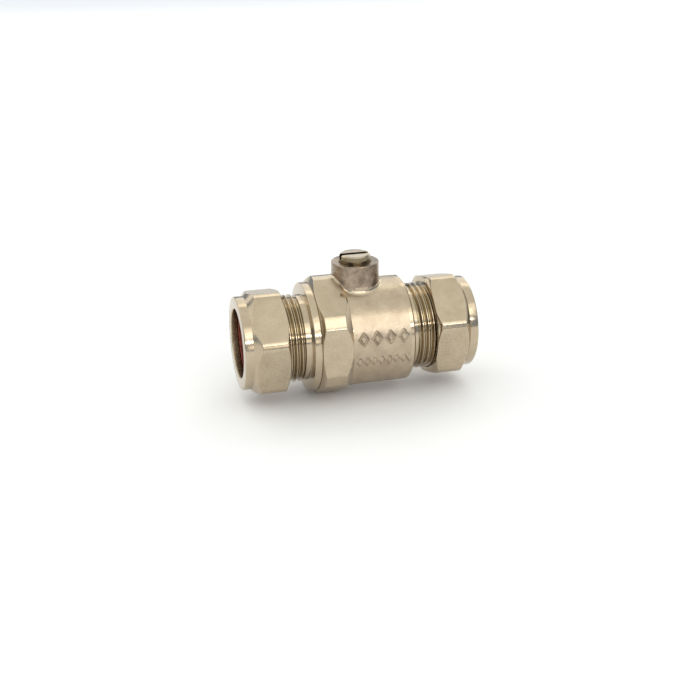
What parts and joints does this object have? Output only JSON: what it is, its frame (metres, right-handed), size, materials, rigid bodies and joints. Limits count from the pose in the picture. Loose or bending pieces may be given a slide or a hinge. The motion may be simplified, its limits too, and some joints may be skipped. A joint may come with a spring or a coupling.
{
  "type": "isolating ball valve",
  "caption": "Straight isolating ball valve with a hexagon-ended body, a screwdriver-slotted spindle on a short boss, and a compression nut and olive at each pipe end.",
  "frame": {"origin": "centre of the ball, where the pipe axis crosses the spindle axis", "axes": "+X along the pipe, towards the body's own male end (the screwed-in end piece is at -X); +Z along the spindle, out of the boss"},
  "size_m": [0.0767, 0.0364, 0.0464],
  "materials": {
    "valve_body": "satin nickel plate over a fine cast skin, machined on the hexagon",
    "end_piece": "bright turned nickel plate",
    "nuts": "satin nickel plate, machined flats",
    "spindle": "turned nickel plate",
    "ball": "polished chromium plate over brass",
    "seats": "plain white fluoropolymer",
    "o_rings": "matt black rubber",
    "olives": "dull copper"
  },
  "bodies": {
    "body": {"valve_body": "valve_body", "end_piece": "end_piece", "seat_left": "seats", "seat_right": "seats", "thrust_washer": "seats", "joint_oring": "o_rings"},
    "spindle": {"spindle": "spindle", "spindle_oring_lower": "o_rings", "spindle_oring_upper": "o_rings"},
    "ball": {"ball": "ball"},
    "left_olive": {"olive_left": "olives"},
    "left_nut": {"nut_left": "nuts"},
    "right_olive": {"olive_right": "olives"},
    "right_nut": {"nut_right": "nuts"}
  },
  "joints": [
    {"name": "spindle_turn", "type": "hinge", "parent": "body", "child": "spindle", "pos_m": [0, 0, 0], "axis": [0, 0, 1], "continuous": true},
    {"name": "ball_turn", "type": "hinge", "parent": "body", "child": "ball", "pos_m": [0, 0, 0], "axis": [0, 0, 1], "continuous": true},
    {"name": "left_olive_slide", "type": "slide", "parent": "body", "child": "left_olive", "axis": [1, 0, 0], "range_m": [-0.005, 0.00137]},
    {"name": "left_nut_turn", "type": "hinge", "parent": "left_olive", "child": "left_nut", "pos_m": [-0.0322, 0, 0], "axis": [1, 0, 0], "range_deg": [-990, 270]},
    {"name": "right_olive_slide", "type": "slide", "parent": "body", "child": "right_olive", "axis": [1, 0, 0], "range_m": [-0.00197, 0.0041]},
    {"name": "right_nut_turn", "type": "hinge", "parent": "right_olive", "child": "right_nut", "pos_m": [0.0303, 0, 0], "axis": [1, 0, 0], "range_deg": [-390, 810]}
  ],
  "couplings": [
    {"joint": "spindle_turn", "follows": "ball_turn", "ratio": 1},
    {"joint": "left_olive_slide", "follows": "left_nut_turn", "m_per_rad": 0.00028871},
    {"joint": "right_olive_slide", "follows": "right_nut_turn", "m_per_rad": 0.00028871}
  ]
}
